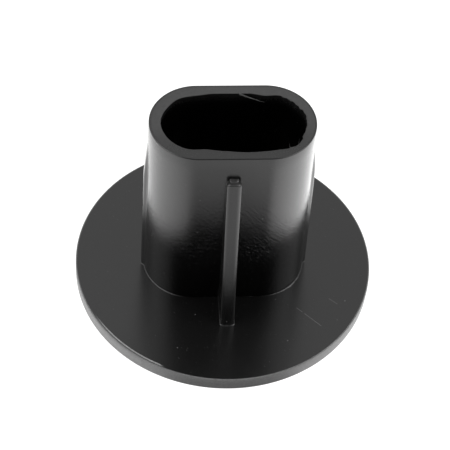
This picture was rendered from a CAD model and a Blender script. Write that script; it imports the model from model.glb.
"""The looks of a desk cable grommet, built round its CAD frame. Metres, +Z up, in the frame's coordinates.

The grommet is one moulding in near-black satin plastic. It is made here as the frame's six named pieces and
three wisps of moulding flash. Each piece is a closed mesh, lofted through rings of points.
"""
import math

import bmesh
import bpy
from mathutils import Matrix, Vector, noise


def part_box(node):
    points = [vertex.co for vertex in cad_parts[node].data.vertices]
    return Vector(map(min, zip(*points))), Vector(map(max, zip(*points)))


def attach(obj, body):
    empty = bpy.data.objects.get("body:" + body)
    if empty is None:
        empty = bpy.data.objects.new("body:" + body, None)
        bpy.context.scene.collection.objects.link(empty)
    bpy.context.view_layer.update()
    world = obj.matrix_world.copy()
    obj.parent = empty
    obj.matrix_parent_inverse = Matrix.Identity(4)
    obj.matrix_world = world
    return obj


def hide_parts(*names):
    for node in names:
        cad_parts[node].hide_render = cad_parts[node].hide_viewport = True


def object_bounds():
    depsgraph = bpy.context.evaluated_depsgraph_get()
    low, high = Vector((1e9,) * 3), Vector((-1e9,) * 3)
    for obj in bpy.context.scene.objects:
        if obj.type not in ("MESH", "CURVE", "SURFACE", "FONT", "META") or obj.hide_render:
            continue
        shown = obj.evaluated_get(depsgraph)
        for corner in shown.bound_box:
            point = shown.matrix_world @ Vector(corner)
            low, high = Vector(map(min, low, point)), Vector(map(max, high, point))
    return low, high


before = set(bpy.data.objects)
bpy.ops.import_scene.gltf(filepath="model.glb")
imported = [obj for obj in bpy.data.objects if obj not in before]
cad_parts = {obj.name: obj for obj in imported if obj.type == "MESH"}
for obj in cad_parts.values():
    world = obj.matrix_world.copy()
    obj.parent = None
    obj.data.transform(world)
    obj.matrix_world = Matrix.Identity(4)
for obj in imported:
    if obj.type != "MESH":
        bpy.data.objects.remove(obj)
cad_low, cad_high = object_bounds()

MM = 0.001
BODY = "root"

# ---------------------------------------------------------------------------------------------------------
# Sizes. The first ones are the frame's, and the rest are the moulding's own.

FLANGE_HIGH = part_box("flange_plate")[1]
SLEEVE_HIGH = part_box("cable_sleeve")[1]
FLAT_RIB_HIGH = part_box("back_rib")[1]

FLANGE_RADIUS = FLANGE_HIGH.x
FLANGE_TOP = FLANGE_HIGH.z
SLEEVE_TOP = SLEEVE_HIGH.z
END_CENTRE = SLEEVE_HIGH.x - SLEEVE_HIGH.y  # each round end of the sleeve turns about this point on X
RIB_TOP = FLAT_RIB_HIGH.z
RIB_HALF_WIDTH = FLAT_RIB_HIGH.x
FLAT_RIB_REACH = FLAT_RIB_HIGH.y

WALL = 1.3 * MM
DRAFT = math.radians(0.3)
FOOT_FILLET = 0.25 * MM
MOUTH_RADIUS = 0.6 * MM
FLAT_RIB_LEAD_IN = 0.25 * MM
FLAT_RIB_SHOULDER = 0.85 * MM
END_RIB_LEAD_IN = 5.5 * MM
END_RIB_DEPTH = 0.35 * MM


def wall_radius(z):
    """The sleeve's outside, from the centre of its round end."""
    return SLEEVE_HIGH.y - FOOT_FILLET - (z - FLANGE_TOP) * math.tan(DRAFT)


def passage_radius(z):
    """The sleeve's inside, from the same centre."""
    return wall_radius(z) - WALL


# ---------------------------------------------------------------------------------------------------------
# Small mathematics.


def smooth(x):
    """0 below 0, 1 above 1, and a smooth step between."""
    x = min(1.0, max(0.0, x))
    return x * x * (3 - 2 * x)


def mix(a, b, share):
    """a at share 0, b at share 1, and straight between."""
    return a + (b - a) * share


def bump(x, centre, half_width):
    """1 at centre, falling smoothly to 0 at half_width each side."""
    return 1 - smooth(abs(x - centre) / half_width)


def arc(centre, radius, start, end, steps):
    """Points of a 2D arc, both ends included, angles in degrees."""
    points = []
    for i in range(steps + 1):
        angle = math.radians(mix(start, end, i / steps))
        points.append((centre[0] + radius * math.cos(angle), centre[1] + radius * math.sin(angle)))
    return points


def spread(value, count):
    """A list stays as it is, and a number becomes a list of count of it."""
    return value if isinstance(value, list) else [value] * count


# ---------------------------------------------------------------------------------------------------------
# Meshes.

SHARP_ANGLE = math.radians(32)


def finished(name, bm, wear):
    """The mesh as an object: faces out, smooth but for its sharp edges, and with the wear of each point."""
    bmesh.ops.recalc_face_normals(bm, faces=bm.faces)
    for face in bm.faces:
        face.smooth = True
    for edge in bm.edges:
        edge.smooth = edge.calc_face_angle(math.pi) < SHARP_ANGLE
    mesh = bpy.data.meshes.new(name)
    bm.to_mesh(mesh)
    bm.free()
    mesh.attributes.new("wear", "FLOAT", "POINT").data.foreach_set("value", wear)
    piece = bpy.data.objects.new(name, mesh)
    bpy.context.scene.collection.objects.link(piece)
    return piece


def lofted(name, rings, closed):
    """A piece through rings of points. Each ring is its points and its wear, which is a number or a list.

    A closed loft joins its last ring to its first. Any other has a face on each end.
    """
    bm = bmesh.new()
    rows = [[bm.verts.new(point) for point in points] for points, _ in rings]
    wear = []
    for points, value in rings:
        wear += spread(value, len(points))
    if closed:
        rows.append(rows[0])
    else:
        bm.faces.new(rows[0])
        bm.faces.new(rows[-1])
    count = len(rows[0])
    for low, high in zip(rows, rows[1:]):
        for i in range(count):
            j = (i + 1) % count
            bm.faces.new((low[i], low[j], high[j], high[i]))
    return finished(name, bm, wear)


# ---------------------------------------------------------------------------------------------------------
# The obround: stations all the way round, each a centre and an outward direction.

END_STEPS = 150
SIDE_STEPS = 66


def obround_stations():
    """The stations, anticlockwise from the right end of the front."""
    stations = []
    for end in (1, -1):
        for i in range(END_STEPS):
            turn = math.radians(mix(-90, 90, i / END_STEPS))
            outward = Vector((end * math.cos(turn), end * math.sin(turn)))
            stations.append((Vector((end * END_CENTRE, 0)), outward))
        for i in range(SIDE_STEPS):
            x = end * END_CENTRE * (1 - 2 * i / SIDE_STEPS)
            stations.append((Vector((x, 0)), Vector((0, end))))
    return stations


STATIONS = obround_stations()


def at_stations(function, *more):
    """What function gives at each station."""
    return [function(centre, outward, *more) for centre, outward in STATIONS]


def obround(radius, z):
    """A ring round the obround. radius and z are numbers, or lists with one for each station."""
    radii = spread(radius, len(STATIONS))
    heights = spread(z, len(STATIONS))
    points = []
    for (centre, outward), r, height in zip(STATIONS, radii, heights):
        points.append((*(centre + outward * r), height))
    return points


# ---------------------------------------------------------------------------------------------------------
# The sleeve's foot, where its fillet meets the flange. The fillet is next to none along the front.

FRONT_END = 6.3 * MM  # along X, where the front's thin fillet has grown to its full size
FRONT_FADE = 1.6 * MM
FILLET_SHARE = 0.40
FILLET_FRONT = 0.37
FILLET_UNEVEN = 0.12
UNEVEN_GRAIN = 0.8 * MM
LUMP_PLACE = Vector((7.7, -3.6)) * MM  # the fillet is thick and lumpy at this corner
LUMP_REACH = 2.2 * MM
LUMP_SHARE = 0.65
LUMP_UNEVEN = 0.5


def front_share(centre, outward):
    """1 along the sleeve's front, and 0 round its ends and along its back."""
    x = (centre + outward * SLEEVE_HIGH.y).x
    return smooth((FRONT_END - abs(x)) / FRONT_FADE) * smooth(-outward.y)


def foot_fillet(centre, outward):
    """The fillet's radius at a station."""
    place = centre + outward * SLEEVE_HIGH.y
    uneven = noise.noise(Vector((*place, 0)) / UNEVEN_GRAIN)
    lump = bump((place - LUMP_PLACE).length, 0, LUMP_REACH) * (LUMP_SHARE + LUMP_UNEVEN * uneven)
    front = FILLET_FRONT * front_share(centre, outward)
    return FOOT_FILLET * (FILLET_SHARE + FILLET_UNEVEN * uneven - front + lump)


FOOT_FILLETS = at_stations(foot_fillet)
FOOT_RADII = [wall_radius(FLANGE_TOP) + fillet for fillet in FOOT_FILLETS]
FOOT_POINTS = [centre + outward * radius for (centre, outward), radius in zip(STATIONS, FOOT_RADII)]
FOOT_ANGLES = [math.atan2(foot.y, foot.x) for foot in FOOT_POINTS]

# ---------------------------------------------------------------------------------------------------------
# The sleeve.

RIM_ROUND = 0.13 * MM
RIM_STEPS = 5
WALL_STEPS = 14
FILLET_STEPS = 5
MOUTH_STEPS = 6

# The flash's section: mm under the rim, and how far in it stands there as a share of its height.
FLASH_PROFILE = ((0.40, 0.0), (0.16, 0.45), (0.03, 1.0), (0.0, 0.8))
RIM_SHARES = (0.08, 0.3, 0.55, 0.8)  # where the rim's rings are, from its inner edge to its outer
RIM_DIP = 0.018 * MM
RIM_GRAIN = 0.6 * MM

FLASH_WEAR = 0.6
RIM_WEAR = 1.0
RIM_FRONT_WEAR = 0.35
RIM_EDGE_WEAR = 0.3
FOOT_WEAR = 0.35

# Where the passage's edge at the rim is out of true: the place, how far outwards, and over what reach, in mm.
RIM_LEANS = (
    ((1.4, -4.2), 0.30, 4.4),
    ((6.6, -3.1), 0.48, 2.6),
    ((8.0, 0.2), 0.25, 3.0),
    ((-3.5, -4.2), -0.18, 2.0),
    ((-4.3, 4.2), -0.30, 2.4),
    ((-6.9, 2.6), -0.22, 3.2),
    ((3.9, 4.2), -0.36, 1.9),
)
LEAN_DEPTH = 3.0 * MM  # how far down the passage the leaning reaches

# The flash's height, in mm, and the size of its ragged teeth.
FLASH_BASE = 0.02
FLASH_FINE = 0.05
FLASH_RIGHT = 0.20
FLASH_FRONT = 0.09
COARSE_TEETH = 0.55 * MM
FINE_TEETH = 0.21 * MM
FINE_OFFSET = Vector((9, 4, 2))
FINE_SHARE = 0.35
TEETH_BIAS = 0.1
RIGHT_START = 0.1  # of the outward direction's X
RIGHT_GROWTH = 0.5
FLASH_FRONT_X = -1.6 * MM
FLASH_FRONT_REACH = 2.2 * MM


def rim_lean(centre, outward):
    """How far the passage's edge stands outwards of true at the rim."""
    place = (centre + outward * passage_radius(SLEEVE_TOP)) / MM
    return MM * sum(out * bump((place - Vector(spot)).length, 0, reach) for spot, out, reach in RIM_LEANS)


def flash(centre, outward):
    """How far the ragged flash on the rim's inner edge stands into the passage: most at the right end."""
    place = Vector((*(centre + outward * passage_radius(SLEEVE_TOP)), 0))
    coarse = noise.noise(place / COARSE_TEETH)
    fine = noise.noise(place / FINE_TEETH + FINE_OFFSET)
    right = FLASH_RIGHT * smooth((outward.x - RIGHT_START) / RIGHT_GROWTH)
    front = FLASH_FRONT * bump(place.x, FLASH_FRONT_X, FLASH_FRONT_REACH) * (outward.y < 0)
    teeth = max(0, coarse + FINE_SHARE * fine + TEETH_BIAS)
    return (FLASH_BASE + FLASH_FINE * max(0, fine) + (right + front) * teeth) * MM


def rim_height(centre, outward, share):
    """The rim isn't quite flat. share runs from its inner edge to its outer."""
    place = centre + outward * mix(passage_radius(SLEEVE_TOP), wall_radius(SLEEVE_TOP), share)
    return SLEEVE_TOP - RIM_DIP * (0.5 + 0.5 * noise.noise(Vector((*place, 0)) / RIM_GRAIN))


def passage_rings(leans):
    """Up the passage, from the rounded mouth at the outer face."""
    rings = []
    mouth = (passage_radius(0) + MOUTH_RADIUS, MOUTH_RADIUS)
    for radius, z in arc(mouth, MOUTH_RADIUS, -90, -180, MOUTH_STEPS):
        rings.append((obround(radius, z), 0.0))
    for i in range(1, WALL_STEPS):
        z = mix(MOUTH_RADIUS, SLEEVE_TOP, i / WALL_STEPS)
        share = smooth(1 - (SLEEVE_TOP - z) / LEAN_DEPTH)
        rings.append((obround([passage_radius(z) + lean * share for lean in leans], z), 0.0))
    return rings


def rim_rings(leans):
    """The flash on the rim's inner edge, the rim, which is less worn along its front, and its outer edge."""
    rings = []
    inner = [passage_radius(SLEEVE_TOP) + lean for lean in leans]
    outer = wall_radius(SLEEVE_TOP) - RIM_ROUND
    flashes = at_stations(flash)
    for drop, share in FLASH_PROFILE:
        radius = [r - share * height for r, height in zip(inner, flashes)]
        rings.append((obround(radius, SLEEVE_TOP - drop * MM), FLASH_WEAR))
    wear = [mix(RIM_WEAR, RIM_FRONT_WEAR, smooth(-outward.y)) for _, outward in STATIONS]
    for share in RIM_SHARES:
        radius = [mix(r, outer, share) for r in inner]
        rings.append((obround(radius, at_stations(rim_height, share)), wear))
    for radius, z in arc((outer, SLEEVE_TOP - RIM_ROUND), RIM_ROUND, 90, 0, RIM_STEPS):
        rings.append((obround(radius, z), RIM_EDGE_WEAR))
    return rings


def wall_rings():
    """Down the wall, round the fillet at its foot, and straight down through the flange."""
    rings = []
    low = FLANGE_TOP + 2 * FOOT_FILLET
    for i in range(1, WALL_STEPS + 1):
        z = mix(SLEEVE_TOP - RIM_ROUND, low, i / WALL_STEPS)
        rings.append((obround(wall_radius(z), z), 0.0))
    wear = [FOOT_WEAR * (1 - share) for share in at_stations(front_share)]
    for i in range(FILLET_STEPS + 1):
        turn = math.radians(90 * i / FILLET_STEPS)
        radius = [wall_radius(FLANGE_TOP) + fillet * (1 - math.cos(turn)) for fillet in FOOT_FILLETS]
        z = [FLANGE_TOP + fillet * (1 - math.sin(turn)) for fillet in FOOT_FILLETS]
        rings.append((obround(radius, z), wear))
    rings.append((obround(FOOT_RADII, 0), 0.0))
    return rings


def sleeve():
    leans = at_stations(rim_lean)
    return lofted("sleeve", passage_rings(leans) + rim_rings(leans) + wall_rings(), closed=True)


# ---------------------------------------------------------------------------------------------------------
# The flange.

TOP_EDGE_ROUND = 0.10 * MM
BOTTOM_EDGE_ROUND = 0.10 * MM
EDGE_STEPS = 5
SIDE_WEAR = 2.2

# A thin ridge of flash on the front left of the top's edge. The angles are in degrees from +X.
RIDGE_INSET = 0.30 * MM
RIDGE_HEIGHT = 0.12 * MM
RIDGE_PROFILE = ((-0.07, 0.0), (-0.04, 1.0), (0.08, 0.35), (0.10, 0.0))  # mm outwards, and height's share
RIDGE_WEAR = 3.0
RIDGE_START = -156
RIDGE_RISE = 14
RIDGE_END = -117.5
RIDGE_STOP = 1.2

# The mould's halves don't quite meet: under the parting line the side stands back, most at this angle.
PARTING_STEP = 0.05 * MM
PARTING_ANGLE = math.radians(-50)
PARTING_SHARE = 0.55  # of the flange's thickness
ABOVE_PARTING = 0.03 * MM
BELOW_PARTING = 0.02 * MM

TOP_SHARES = (0.12, 0.35, 0.65, 0.9)
TOP_INSET = 0.10 * MM
OUTER_FACE_SHARES = (0.85, 0.5, 0.2, 0)
OUTER_FACE_INSET = 1 * MM


def flange_ring(share, radius, z):
    """A ring of the flange, from share 0 at the sleeve's foot to 1 at a circle. radius and z may be lists."""
    radii = spread(radius, len(STATIONS))
    heights = spread(z, len(STATIONS))
    points = []
    for foot, angle, r, height in zip(FOOT_POINTS, FOOT_ANGLES, radii, heights):
        edge = Vector((math.cos(angle), math.sin(angle))) * r
        points.append((*foot.lerp(edge, share), height))
    return points


def ridge_share(angle):
    """The ridge's height at an angle, as a share of its full height: it rises slowly and stops short."""
    degrees = math.degrees(angle)
    return smooth((degrees - RIDGE_START) / RIDGE_RISE) * (1 - smooth((degrees - RIDGE_END) / RIDGE_STOP))


def top_rings():
    """Out along the top, and over the ridge of flash."""
    ridge = FLANGE_RADIUS - RIDGE_INSET
    shares = [ridge_share(angle) for angle in FOOT_ANGLES]
    rings = [(flange_ring(0, ridge, FLANGE_TOP), 0.0)]
    for share in TOP_SHARES:
        rings.append((flange_ring(share, ridge - TOP_INSET, FLANGE_TOP), 0.0))
    for out, height in RIDGE_PROFILE:
        z = [FLANGE_TOP + RIDGE_HEIGHT * height * share for share in shares]
        wear = [RIDGE_WEAR * share * (height > 0) for share in shares]
        rings.append((flange_ring(1, ridge + out * MM, z), wear))
    return rings


def side_rings():
    """Down the side, with the step at the parting line."""
    rings = []
    top = (FLANGE_RADIUS - TOP_EDGE_ROUND, FLANGE_TOP - TOP_EDGE_ROUND)
    for radius, z in arc(top, TOP_EDGE_ROUND, 90, 0, EDGE_STEPS):
        rings.append((flange_ring(1, radius, z), SIDE_WEAR))
    parting = FLANGE_TOP * PARTING_SHARE
    lower = [FLANGE_RADIUS - PARTING_STEP * (0.5 + 0.5 * math.cos(a - PARTING_ANGLE)) for a in FOOT_ANGLES]
    rings.append((flange_ring(1, FLANGE_RADIUS, parting + ABOVE_PARTING), SIDE_WEAR))
    rings.append((flange_ring(1, lower, parting - BELOW_PARTING), SIDE_WEAR))
    for i in range(EDGE_STEPS + 1):
        turn = math.radians(90 * i / EDGE_STEPS)
        radius = [r - BOTTOM_EDGE_ROUND * (1 - math.cos(turn)) for r in lower]
        z = BOTTOM_EDGE_ROUND * (1 - math.sin(turn))
        rings.append((flange_ring(1, radius, z), SIDE_WEAR * (1 - i / EDGE_STEPS)))
    return rings


def flange():
    rings = top_rings() + side_rings()
    for share in OUTER_FACE_SHARES:
        rings.append((flange_ring(share, FLANGE_RADIUS - OUTER_FACE_INSET, 0), 0.0))
    return lofted("flange", rings, closed=True)


# ---------------------------------------------------------------------------------------------------------
# The ribs.

FLAT_RIB_CORNER = 0.12 * MM
FLAT_RIB_CROWN = 0.8 * MM  # the face curves away at this radius before its corners
FLAT_RIB_TURN = 34  # degrees through which the crown turns on each side
FULL_EDGE_DEPTH = 0.33 * MM  # a flat rib that stands out less than this has smaller edges in proportion
LEAST_EDGE_DEPTH = 0.02 * MM
RIB_HOLLOW = 0.10 * MM  # how far a flat rib's face is sunk, halfway up
SHOULDER_ROUND = 0.3 * MM
LEAD_IN_STEPS = 4

END_RIB_FLAT = 0.4  # the share of an end rib's width that stands at full depth
END_RIB_RUN_OUT = 1.3  # the power by which its face falls to the wall

RIB_ROOT = 0.06 * MM
RIB_FOOT_FLARE = 0.10 * MM
SUNK = 0.06 * MM  # how far a rib's hidden faces lie inside its neighbours
RIB_WEAR = 0.15
LEDGE_WEAR = 0.9
RIB_STEPS = 12
ARC_STEPS = 5
SWELL_STEPS = 14


def flat_rib_section(half_width, depth):
    """The outline of a flat rib's cross section: across, and out from the sleeve's surface."""
    scale = min(1, max(depth, LEAST_EDGE_DEPTH) / FULL_EDGE_DEPTH)
    corner, crown, root = (size * scale for size in (FLAT_RIB_CORNER, FLAT_RIB_CROWN, RIB_ROOT))
    turn = math.radians(FLAT_RIB_TURN)
    middle = half_width - corner - (crown - corner) * math.sin(turn)
    drop = (crown - corner) * (1 - math.cos(turn))
    half = [(half_width + root, -SUNK * 2)]
    half += arc((half_width + root, root - SUNK / 3), root, -90, -180, ARC_STEPS)
    half += arc((half_width - corner, depth - drop - corner), corner, 0, 90 - FLAT_RIB_TURN, ARC_STEPS)
    half += arc((middle, depth - crown), crown, 90 - FLAT_RIB_TURN, 90, ARC_STEPS)[1:]
    return half + [(-across, out) for across, out in reversed(half)]


def end_rib_section(half_width, depth):
    """The outline of an end rib's cross section, which is a low swelling with no sharp edge."""
    half = [(half_width, -SUNK * 2)]
    for i in range(SWELL_STEPS + 1):
        share = 1 - i / SWELL_STEPS
        fall = smooth((share - END_RIB_FLAT) / (1 - END_RIB_FLAT))
        half.append((half_width * share, mix(depth, -SUNK / 3, fall)))
    return half + [(-across, out) for across, out in reversed(half[:-1])]


def rib_foot(depth, top):
    """A rib's (z, depth, inset) from its flared foot to top. depth is a function of z."""
    flare = [RIB_FOOT_FLARE * (1 - math.cos(math.radians(90 * i / ARC_STEPS))) for i in range(ARC_STEPS + 1)]
    heights = [FLANGE_TOP - SUNK]
    heights += [FLANGE_TOP + up for up in flare]
    heights += [mix(FLANGE_TOP + RIB_FOOT_FLARE, top, i / RIB_STEPS) for i in range(1, RIB_STEPS + 1)]
    return [(z, depth(max(z, FLANGE_TOP)), 0) for z in heights]


def rib(name, outward, surface, curved, profile, section):
    """A rib on the sleeve. surface(z) is how far from the Z axis the sleeve's wall is in that direction.

    profile gives height, depth and how far the sides come in, all the way up. section makes the outline.
    """
    across = Vector((-outward.y, outward.x, 0))
    rings = []
    for z, depth, inset in profile:
        up = min(RIB_FOOT_FLARE, max(0, z - FLANGE_TOP))
        flare = RIB_FOOT_FLARE - math.sqrt(max(0, RIB_FOOT_FLARE**2 - (RIB_FOOT_FLARE - up) ** 2))
        points = []
        for sideways, out in section(RIB_HALF_WIDTH + flare - inset, depth + flare):
            if curved:
                radius = wall_radius(z)
                sag = radius - math.sqrt(radius**2 - sideways**2)
                out -= sag * (1 - smooth(out / END_RIB_DEPTH))
            points.append(outward * (surface(z) + out) + across * sideways + Vector((0, 0, z)))
        rings.append((points, LEDGE_WEAR if inset > 0 else RIB_WEAR))
    return lofted(name, rings, closed=False)


def flat_rib(name, outward):
    """A rib on a flat side: deep at the flange, sloping in to a rounded shoulder, with a ledge on top."""
    foot = FLAT_RIB_REACH - wall_radius(FLANGE_TOP) - RIB_FOOT_FLARE
    ledge = RIB_TOP - FLAT_RIB_LEAD_IN
    straight = ledge - SHOULDER_ROUND

    def depth(z):
        share = (z - FLANGE_TOP) / (ledge - FLANGE_TOP)
        return mix(foot, FLAT_RIB_SHOULDER, share) - 4 * RIB_HOLLOW * share * (1 - share)

    profile = rib_foot(depth, straight)
    for out, z in arc((depth(straight) - SHOULDER_ROUND, straight), SHOULDER_ROUND, 0, 90, ARC_STEPS)[1:]:
        profile.append((z, out, depth(straight) - out))
    last = profile[-1][1]
    for i in range(1, LEAD_IN_STEPS + 1):
        share = i / LEAD_IN_STEPS
        profile.append((mix(ledge, RIB_TOP, share**2), mix(last, 0, share), SHOULDER_ROUND))
    profile.append((RIB_TOP + SUNK, -SUNK, SHOULDER_ROUND))
    return rib(name, outward, wall_radius, False, profile, flat_rib_section)


def end_rib(name, outward):
    """A low rib on a round end, whose face runs out into the wall over its last few millimetres."""
    lead_in = RIB_TOP - END_RIB_LEAD_IN
    profile = rib_foot(lambda z: END_RIB_DEPTH, lead_in)
    for i in range(1, RIB_STEPS + 1):
        share = i / RIB_STEPS
        profile.append((mix(lead_in, RIB_TOP, share), END_RIB_DEPTH * (1 - share**END_RIB_RUN_OUT), 0))
    profile.append((RIB_TOP + SUNK, -SUNK, 0))
    return rib(name, outward, lambda z: END_CENTRE + wall_radius(z), True, profile, end_rib_section)


# ---------------------------------------------------------------------------------------------------------
# The wisps of flash on the passage's edge at the rim: a hair that hangs from the back, and two upright burrs.
# Each is in mm. At its root, width and thickness scale WISP_ACROSS and WISP_THROUGH, which are across it.

RIM = SLEEVE_TOP / MM
BACK_EDGE = passage_radius(SLEEVE_TOP) / MM
HAIR = dict(
    root=(0.9, BACK_EDGE - 0.01, RIM - 0.06),
    reach=(2.85, -0.42, -0.95),
    sway=(0, -0.16, 0.10),
    width=0.24,
    thickness=0.05,
)
LEFT_BURR = dict(
    root=(6.05, -3.78, RIM - 0.35),
    reach=(-0.12, 0.45, 0.55),
    sway=(0, 0, 0),
    width=0.42,
    thickness=0.09,
)
RIGHT_BURR = dict(
    root=(7.05, -3.05, RIM - 0.30),
    reach=(0.05, 0.42, 0.42),
    sway=(0, 0, 0),
    width=0.34,
    thickness=0.08,
)
WISP_ACROSS = Vector((0, 0.7, 1))
WISP_THROUGH = Vector((0, 1, -1))
TIP_WIDTH = 0.025
TIP_THICKNESS = 0.015
WISP_TAPER = 0.6
WISP_STEPS = 14
WISP_SIDES = 8
WISP_WEAR = 1.6


def wisp(name, root, reach, sway, width, thickness):
    """A tapering blade from root along reach, bent aside by sway at its middle."""
    rings = []
    for i in range(WISP_STEPS + 1):
        share = i / WISP_STEPS
        middle = Vector(root) + Vector(reach) * share + Vector(sway) * math.sin(math.pi * share)
        wide = mix(width, TIP_WIDTH, share**WISP_TAPER) / 2
        thick = mix(thickness, TIP_THICKNESS, share)
        points = []
        for k in range(WISP_SIDES):
            angle = 2 * math.pi * k / WISP_SIDES
            aside = WISP_ACROSS * math.cos(angle) * wide + WISP_THROUGH * math.sin(angle) * thick
            points.append((middle + aside) * MM)
        rings.append((points, WISP_WEAR))
    return lofted(name, rings, closed=False)


# ---------------------------------------------------------------------------------------------------------
# The material.


class Nodes:
    """A node tree and short ways to add to it."""

    def __init__(self, tree):
        self.tree = tree
        tree.nodes.clear()

    def add(self, kind, settings=None, **inputs):
        node = self.tree.nodes.new(kind)
        for key, value in (settings or {}).items():
            setattr(node, key, value)
        for key, value in inputs.items():
            self.put(node, key.replace("_", " "), value)
        return node

    def put(self, node, socket, value):
        target = node.inputs[int(socket)] if socket.isdigit() else node.inputs[socket]
        if isinstance(value, bpy.types.NodeSocket):
            self.tree.links.new(value, target)
        else:
            target.default_value = value

    def math(self, operation, a, b=0.0, c=0.0):
        node = self.add("ShaderNodeMath", {"operation": operation})
        for index, value in enumerate((a, b, c)):
            self.put(node, str(index), value)
        return node.outputs[0]

    def vector(self, operation, a, b, output="Vector"):
        node = self.add("ShaderNodeVectorMath", {"operation": operation})
        self.put(node, "0", a)
        self.put(node, "1", b)
        return node.outputs[output]

    def scaled(self, vector, factor):
        node = self.add("ShaderNodeVectorMath", {"operation": "SCALE"}, Scale=factor)
        self.put(node, "0", vector)
        return node.outputs["Vector"]

    def total(self, start, *terms):
        """start and every term, each of which is a value and its weight."""
        result = start
        for value, weight in terms:
            result = self.math("MULTIPLY_ADD", value, weight, result)
        return result

    def ramp(self, value, low, high, to_low=0.0, to_high=1.0):
        """to_low where value is low, to_high where it is high, and smooth between."""
        node = self.add("ShaderNodeMapRange", {"interpolation_type": "SMOOTHSTEP"}, Value=value)
        limits = {"From Min": low, "From Max": high, "To Min": to_low, "To Max": to_high}
        for socket, number in limits.items():
            node.inputs[socket].default_value = number
        return node.outputs[0]

    def noise(self, vector, scale=1.0, detail=2.0, roughness=0.5):
        node = self.add("ShaderNodeTexNoise", Vector=vector, Scale=scale, Detail=detail, Roughness=roughness)
        return node.outputs["Fac"]

    def stretched(self, vector, degrees, scales):
        """The coordinates turned by angles about X, Y and Z, then scaled."""
        turned = self.add("ShaderNodeVectorRotate", {"rotation_type": "EULER_XYZ"}, Vector=vector)
        turned.inputs["Rotation"].default_value = [math.radians(angle) for angle in degrees]
        return self.vector("MULTIPLY", turned.outputs[0], scales)

    def line(self, vector, start, end, half_width):
        """1 on the straight line between two points, and 0 beyond half_width from it."""
        along = Vector(end) - Vector(start)
        offset = self.vector("SUBTRACT", vector, Vector(start))
        share = self.vector("DOT_PRODUCT", offset, along / along.length_squared, output="Value")
        share = self.add("ShaderNodeClamp", Value=share).outputs[0]
        away = self.vector("DISTANCE", offset, self.scaled(along, share), output="Value")
        return self.ramp(away, low=half_width * SCUFF_CORE, high=half_width, to_low=1.0, to_high=0.0)


# Scratches on the flange's top, each from one point to another, in mm.
FLANGE_SCUFFS = (
    ((9.16, -8.25), (10.94, -10.03)),
    ((8.3, -7.4), (8.9, -8.0)),
    ((12.2, -6.1), (13.1, -6.9)),
)
SCUFF_HALF_WIDTH = 0.05
SCUFF_CORE = 0.4  # the share of a scuff's half width that is at full strength
SCUFF_COLOUR = 0.05

# What each kind of mark adds to the roughness. A noise is 0.5 on average.
FINE_ROUGHNESS = 0.10
PATCH_ROUGHNESS = 0.08
WEAR_ROUGHNESS = 0.16
SCRATCH_ROUGHNESS = 0.12
NOISE_MEAN = 0.5

BUMP_HEIGHT = 0.05 * MM
SCRATCH_HEIGHT = -0.08  # heights are shares of BUMP_HEIGHT
SPECK_HEIGHT = 0.16

WORN_COLOUR = 0.018
DUST_COLOUR = (0.10, 0.10, 0.10, 1)
DUST_COVER = 0.6
PLASTIC_IOR = 1.5


def tool_mark_lines(nodes, in_mm):
    """Fine lines that slant down the sleeve's flat sides, as the tool left them in the mould."""
    slanting = nodes.stretched(in_mm, degrees=(0, -50, 0), scales=(0.5, 1.0, 6.0))
    return nodes.noise(slanting, detail=3.0, roughness=0.6)


def mottling(nodes, in_mm):
    """Small blotches, most of them in the middle of the sleeve's flat sides and low down."""
    tilted = nodes.stretched(in_mm, degrees=(0, 25, 0), scales=(4.5, 3.0, 2.1))
    blobs = nodes.noise(tilted, detail=1.5)
    axes = nodes.add("ShaderNodeSeparateXYZ", Vector=in_mm)
    from_middle = nodes.math("ABSOLUTE", axes.outputs["X"])
    in_middle = nodes.ramp(from_middle, low=3.5, high=6.0, to_low=1.0, to_high=0.25)
    low_down = nodes.ramp(axes.outputs["Z"], low=9.0, high=14.0, to_low=1.0, to_high=0.15)
    return nodes.math("MULTIPLY", nodes.math("MULTIPLY", blobs, in_middle), low_down)


def hairlines(nodes, in_mm):
    """Sparse hairline scratches."""
    skewed = nodes.stretched(in_mm, degrees=(20, 10, 48), scales=(0.10, 7.0, 7.0))
    streaks = nodes.noise(skewed, roughness=0.4)
    return nodes.ramp(streaks, low=0.735, high=0.76)


def dust(nodes, in_mm):
    """Round specks of dust, in about one cell of five."""
    cell = nodes.add("ShaderNodeTexVoronoi", Vector=in_mm, Scale=0.85)
    near = nodes.ramp(cell.outputs["Distance"], low=0.05, high=0.085, to_low=1.0, to_high=0.0)
    chance = nodes.add("ShaderNodeSeparateColor", Color=cell.outputs["Color"]).outputs[0]
    return nodes.math("MULTIPLY", near, nodes.ramp(chance, low=0.80, high=0.81))


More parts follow.
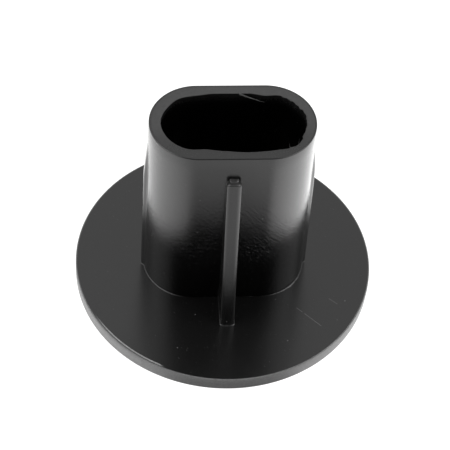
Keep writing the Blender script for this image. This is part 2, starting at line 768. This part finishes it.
def plastic(name, colour, roughness, grain, tool_marks, mottle, scuffs=()):
    """Near-black satin plastic, paler and rougher where worn. grain, tool_marks and mottle are heights."""
    material = bpy.data.materials.new(name)
    material.use_nodes = True
    nodes = Nodes(material.node_tree)
    in_mm = nodes.scaled(nodes.add("ShaderNodeTexCoord").outputs["Object"], 1 / MM)
    wear = nodes.add("ShaderNodeAttribute", {"attribute_name": "wear"}).outputs["Fac"]

    fine = nodes.noise(in_mm, scale=5.5, detail=3.0, roughness=0.6)
    patches = nodes.noise(in_mm, scale=0.22)
    marks = tool_mark_lines(nodes, in_mm)
    blobs = mottling(nodes, in_mm)
    scratch = hairlines(nodes, in_mm)
    speck = dust(nodes, in_mm)
    scuffed = 0.0
    for scuff in scuffs:
        start, end = ((*point, FLANGE_TOP / MM) for point in scuff)
        scuffed = nodes.math("MAXIMUM", nodes.line(in_mm, start, end, SCUFF_HALF_WIDTH), scuffed)

    rough = nodes.total(
        roughness - NOISE_MEAN * (FINE_ROUGHNESS + PATCH_ROUGHNESS),
        (fine, FINE_ROUGHNESS),
        (patches, PATCH_ROUGHNESS),
        (wear, WEAR_ROUGHNESS),
        (scratch, SCRATCH_ROUGHNESS),
    )
    height = nodes.total(
        0.0,
        (fine, grain),
        (marks, tool_marks),
        (blobs, mottle),
        (scratch, SCRATCH_HEIGHT),
        (speck, SPECK_HEIGHT),
    )
    normal = nodes.add("ShaderNodeBump", Strength=1.0, Distance=BUMP_HEIGHT, Height=height).outputs[0]

    uneven = nodes.ramp(fine, low=0.2, high=0.8, to_low=0.7, to_high=1.3)
    worn = nodes.math("MULTIPLY", nodes.math("MULTIPLY", wear, wear), uneven)
    pale = nodes.total(colour, (worn, WORN_COLOUR), (scuffed, SCUFF_COLOUR))
    grey = nodes.add("ShaderNodeCombineColor", Red=pale, Green=pale, Blue=pale)
    dusty = nodes.add("ShaderNodeMix", {"data_type": "RGBA"})
    nodes.put(dusty, "0", nodes.math("MULTIPLY", speck, DUST_COVER))
    nodes.put(dusty, "6", grey.outputs[0])
    nodes.put(dusty, "7", DUST_COLOUR)

    shader = nodes.add("ShaderNodeBsdfPrincipled", Roughness=rough, Normal=normal, IOR=PLASTIC_IOR)
    nodes.put(shader, "Base Color", dusty.outputs[2])
    output = nodes.add("ShaderNodeOutputMaterial")
    nodes.put(output, "Surface", shader.outputs[0])
    return material


# ---------------------------------------------------------------------------------------------------------
# The studio: a light table, a softbox at each side, and a dull room that is darkest behind the camera.

ROOM_LEFT = 1.75
ROOM_RIGHT = 1.25
ROOM_FADE = 0.5  # the room changes from its left light to its right within this much of X each side
ROOM_DARK = 0.03
SOFTBOX_LIGHT = 4.2
SOFTBOX_AZIMUTHS = (math.radians(-84), math.radians(80))
SOFTBOX_ELEVATION = math.radians(50)
SOFTBOX_CORE = math.radians(10)
SOFTBOX_EDGE = math.radians(27)
DARK_CORE = math.radians(20)
DARK_EDGE = math.radians(46)

TABLE_RADIUS = 3.0
TABLE_SEGMENTS = 96
TABLE_GAP = 0.02 * MM
TABLE_COLOUR = (0.2, 0.2, 0.2, 1)
TABLE_ROUGHNESS = 0.9
TABLE_FRONT_GLOW = 1.06
TABLE_LEFT_GLOW = 1.85
TABLE_RIGHT_GLOW = 2.45
RIGHT_FADE = (0.05, 0.97)  # the glow changes between these directions, which are shares of X in the distance
LEFT_FADE = (-0.2, -0.95)
FRONT_FADE_Y = (-0.85, -0.98)  # and the object's shade between these shares of Y
TABLE_SHADE = 0.26  # the glow's share left where the object shades the table, at the flange's front
SHADE_LENGTH = 14 * MM
COVERED_INSETS = (1.5 * MM, 0.5 * MM)  # the table's glow begins between these, inside the flange's edge

CAMERA_TARGET = Vector((-0.05, 0.01, 8.25)) * MM
CAMERA_DISTANCE = 236.2 * MM
CAMERA_AZIMUTH = math.radians(-6.32)
CAMERA_ELEVATION = math.radians(50.86)
CAMERA_ROLL = math.radians(4.25)
CAMERA_LENS = 161.8
CAMERA_CLIP = 10 * MM


def towards(azimuth, elevation):
    """The direction from the object to a place seen at that azimuth and elevation."""
    flat = math.cos(elevation)
    return Vector((math.sin(azimuth) * flat, -math.cos(azimuth) * flat, math.sin(elevation)))


def make_camera():
    camera = bpy.data.objects.new("camera", bpy.data.cameras.new("camera"))
    bpy.context.scene.collection.objects.link(camera)
    back = towards(CAMERA_AZIMUTH, CAMERA_ELEVATION)
    right = Vector((math.cos(CAMERA_AZIMUTH), math.sin(CAMERA_AZIMUTH), 0))
    up = back.cross(right)
    x = right * math.cos(CAMERA_ROLL) + up * math.sin(CAMERA_ROLL)
    y = up * math.cos(CAMERA_ROLL) - right * math.sin(CAMERA_ROLL)
    axes = Matrix((x, y, back)).transposed().to_4x4()
    camera.matrix_world = Matrix.Translation(CAMERA_TARGET + back * CAMERA_DISTANCE) @ axes
    camera.data.lens = CAMERA_LENS
    camera.data.clip_start = CAMERA_CLIP
    bpy.context.scene.camera = camera


def make_room():
    world = bpy.data.worlds.new("room")
    world.use_nodes = True
    bpy.context.scene.world = world
    nodes = Nodes(world.node_tree)
    direction = nodes.add("ShaderNodeTexCoord").outputs["Generated"]
    sideways = nodes.add("ShaderNodeSeparateXYZ", Vector=direction).outputs["X"]

    def within(azimuth, elevation, edge, core):
        """1 within the core angle of a direction, and 0 outside the edge angle."""
        facing = nodes.vector("DOT_PRODUCT", direction, towards(azimuth, elevation), output="Value")
        return nodes.ramp(facing, low=math.cos(edge), high=math.cos(core))

    strength = nodes.ramp(sideways, low=-ROOM_FADE, high=ROOM_FADE, to_low=ROOM_LEFT, to_high=ROOM_RIGHT)
    dark = within(CAMERA_AZIMUTH, CAMERA_ELEVATION, DARK_EDGE, DARK_CORE)
    strength = nodes.math("MULTIPLY", strength, nodes.ramp(dark, low=0, high=1, to_low=1, to_high=ROOM_DARK))
    for azimuth in SOFTBOX_AZIMUTHS:
        softbox = within(azimuth, SOFTBOX_ELEVATION, SOFTBOX_EDGE, SOFTBOX_CORE)
        strength = nodes.math("MULTIPLY_ADD", softbox, SOFTBOX_LIGHT, strength)
    background = nodes.add("ShaderNodeBackground", Strength=strength)
    output = nodes.add("ShaderNodeOutputWorld")
    nodes.put(output, "Surface", background.outputs[0])


def table_glow(nodes, place, from_centre):
    """How the table glows in reflections: most to the object's sides, and less near the flange's front."""
    axes = nodes.add("ShaderNodeSeparateXYZ", Vector=place)
    sideways = nodes.math("DIVIDE", axes.outputs["X"], from_centre)
    forwards = nodes.math("DIVIDE", axes.outputs["Y"], from_centre)
    right = nodes.ramp(sideways, *RIGHT_FADE, to_low=TABLE_FRONT_GLOW, to_high=TABLE_RIGHT_GLOW)
    left = nodes.ramp(sideways, *LEFT_FADE, to_low=0, to_high=TABLE_LEFT_GLOW - TABLE_FRONT_GLOW)
    glow = nodes.math("ADD", right, left)
    shade_end = FLANGE_RADIUS + SHADE_LENGTH
    shade = nodes.ramp(from_centre, low=FLANGE_RADIUS, high=shade_end, to_low=1 - TABLE_SHADE, to_high=0)
    in_front = nodes.ramp(forwards, *FRONT_FADE_Y)
    return nodes.math("MULTIPLY", glow, nodes.math("SUBTRACT", 1, nodes.math("MULTIPLY", shade, in_front)))


def table_material():
    """Glows round the object and not under it. To the camera it is plain white."""
    material = bpy.data.materials.new("light_table")
    material.use_nodes = True
    nodes = Nodes(material.node_tree)
    place = nodes.add("ShaderNodeTexCoord").outputs["Object"]
    from_centre = nodes.add("ShaderNodeVectorMath", {"operation": "LENGTH"}, Vector=place).outputs["Value"]
    uncovered = nodes.ramp(from_centre, *(FLANGE_RADIUS - inset for inset in COVERED_INSETS))
    strength = nodes.add("ShaderNodeMix")
    nodes.put(strength, "0", nodes.add("ShaderNodeLightPath").outputs["Is Camera Ray"])
    nodes.put(strength, "2", table_glow(nodes, place, from_centre))
    nodes.put(strength, "3", 1.0)
    strength = nodes.math("MULTIPLY", uncovered, strength.outputs[0])
    shader = nodes.add("ShaderNodeBsdfPrincipled", Roughness=TABLE_ROUGHNESS)
    nodes.put(shader, "Base Color", TABLE_COLOUR)
    nodes.put(shader, "Emission Color", (1, 1, 1, 1))
    nodes.put(shader, "Emission Strength", strength)
    output = nodes.add("ShaderNodeOutputMaterial")
    nodes.put(output, "Surface", shader.outputs[0])
    return material


def make_table():
    bm = bmesh.new()
    bmesh.ops.create_circle(bm, cap_ends=True, segments=TABLE_SEGMENTS, radius=TABLE_RADIUS)
    bmesh.ops.translate(bm, verts=bm.verts, vec=(0, 0, cad_low.z - TABLE_GAP))
    mesh = bpy.data.meshes.new("light_table")
    bm.to_mesh(mesh)
    bm.free()
    mesh.materials.append(table_material())
    table = bpy.data.objects.new("light_table", mesh)
    bpy.context.scene.collection.objects.link(table)


# ---------------------------------------------------------------------------------------------------------
# Putting it together.

make_camera()
make_room()
make_table()
bpy.context.scene.view_settings.view_transform = "Standard"

flange_plastic = plastic(
    "flange_plastic",
    colour=0.0040,
    roughness=0.21,
    grain=0.08,
    tool_marks=0.02,
    mottle=0.05,
    scuffs=FLANGE_SCUFFS,
)
sleeve_plastic = plastic(
    "sleeve_plastic",
    colour=0.0004,
    roughness=0.20,
    grain=0.16,
    tool_marks=0.26,
    mottle=1.45,
)
rib_plastic = plastic(
    "rib_plastic",
    colour=0.0024,
    roughness=0.21,
    grain=0.16,
    tool_marks=0.08,
    mottle=0.15,
)

LEFT, RIGHT = Vector((-1, 0, 0)), Vector((1, 0, 0))
FRONT, BACK = Vector((0, -1, 0)), Vector((0, 1, 0))

pieces = [
    (flange(), "flange_plate", flange_plastic),
    (sleeve(), "cable_sleeve", sleeve_plastic),
    (flat_rib("rib_front", FRONT), "front_rib", rib_plastic),
    (flat_rib("rib_back", BACK), "back_rib", rib_plastic),
    (end_rib("rib_left", LEFT), "left_rib", rib_plastic),
    (end_rib("rib_right", RIGHT), "right_rib", rib_plastic),
    (wisp("flash_hair", **HAIR), None, sleeve_plastic),
    (wisp("flash_burr_1", **LEFT_BURR), None, sleeve_plastic),
    (wisp("flash_burr_2", **RIGHT_BURR), None, sleeve_plastic),
]
for piece, node, material in pieces:
    piece.data.materials.append(material)
    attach(piece, BODY)
    if node:
        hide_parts(node)
